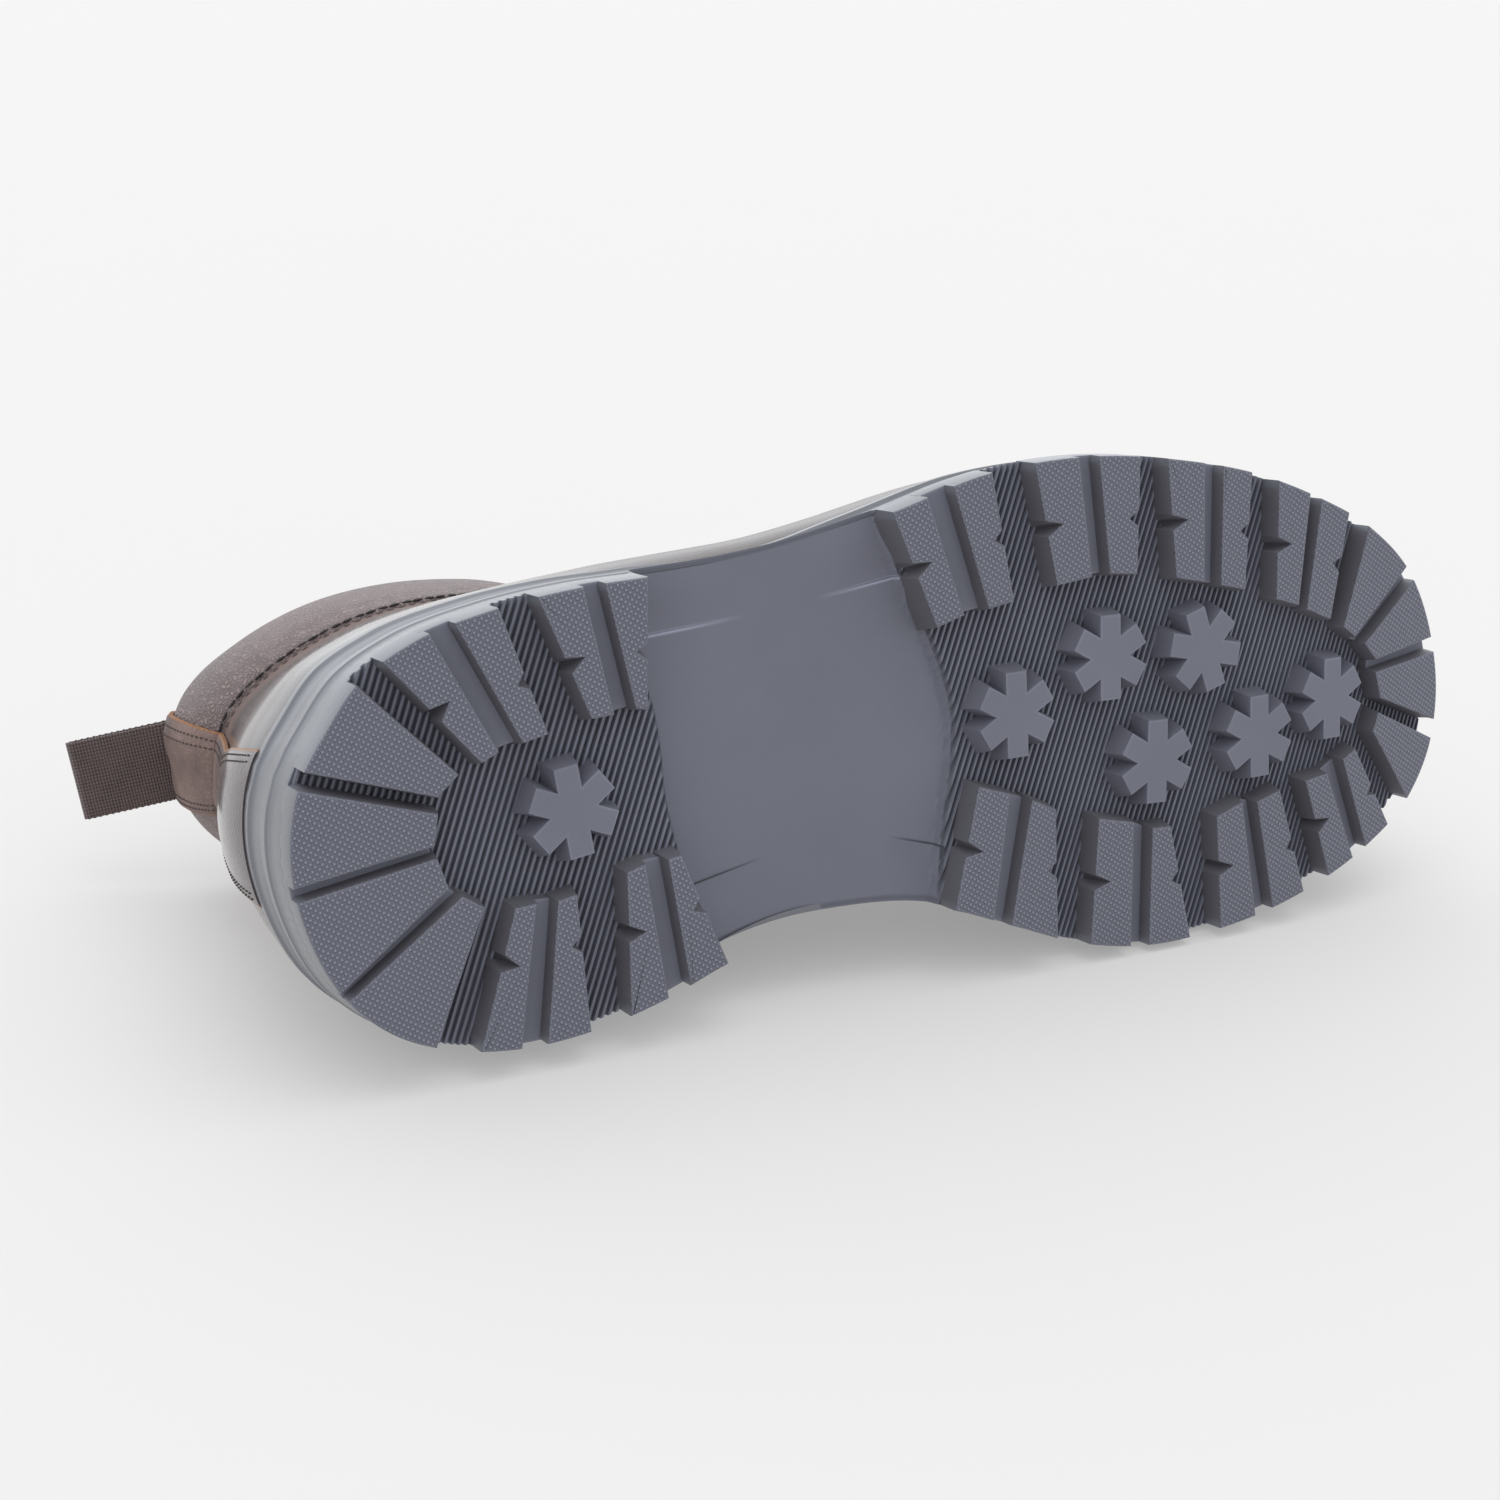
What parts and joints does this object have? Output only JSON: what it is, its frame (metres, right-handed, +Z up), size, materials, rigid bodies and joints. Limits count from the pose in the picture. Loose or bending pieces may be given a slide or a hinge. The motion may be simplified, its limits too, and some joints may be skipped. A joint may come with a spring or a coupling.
{
  "type": "lace-up ankle boot",
  "caption": "Lace-up ankle boot for the right foot with a lugged rubber sole, padded collar, stitched back strip and pull loop, lying on its inner side.",
  "frame": {"origin": "middle of the bounding box on the floor the boot lies on", "axes": "+X from the heel towards the toe, -Y the way the tread faces, +Z up from the floor"},
  "size_m": [0.3318, 0.158, 0.1221],
  "materials": {
    "sole_rubber": "matte moulded rubber with knurled lug tops",
    "brown_leather": "smooth glossy leather",
    "collar_leather": "soft pebble grain",
    "strip_leather": "satin with raw tan edges",
    "tape": "woven tape",
    "lining": "matte cloth",
    "lace_cord": "braided cord",
    "eyelet_metal": "aged, satin"
  },
  "bodies": {
    "root": {"outsole": "sole_rubber", "insole": "lining", "upper": "brown_leather", "collar": "collar_leather", "backstay": "strip_leather", "pull_loop": "tape", "tongue": "brown_leather", "eyestay_outer": "brown_leather", "eyestay_inner": "brown_leather", "eyelet_outer_1": "eyelet_metal", "eyelet_outer_2": "eyelet_metal", "eyelet_outer_3": "eyelet_metal", "eyelet_outer_4": "eyelet_metal", "eyelet_outer_5": "eyelet_metal", "eyelet_inner_1": "eyelet_metal", "eyelet_inner_2": "eyelet_metal", "eyelet_inner_3": "eyelet_metal", "eyelet_inner_4": "eyelet_metal", "eyelet_inner_5": "eyelet_metal", "lace_bar": "lace_cord", "lace_cross_1": "lace_cord", "lace_cross_2": "lace_cord", "lace_cross_3": "lace_cord", "lace_cross_4": "lace_cord"}
  },
  "joints": []
}
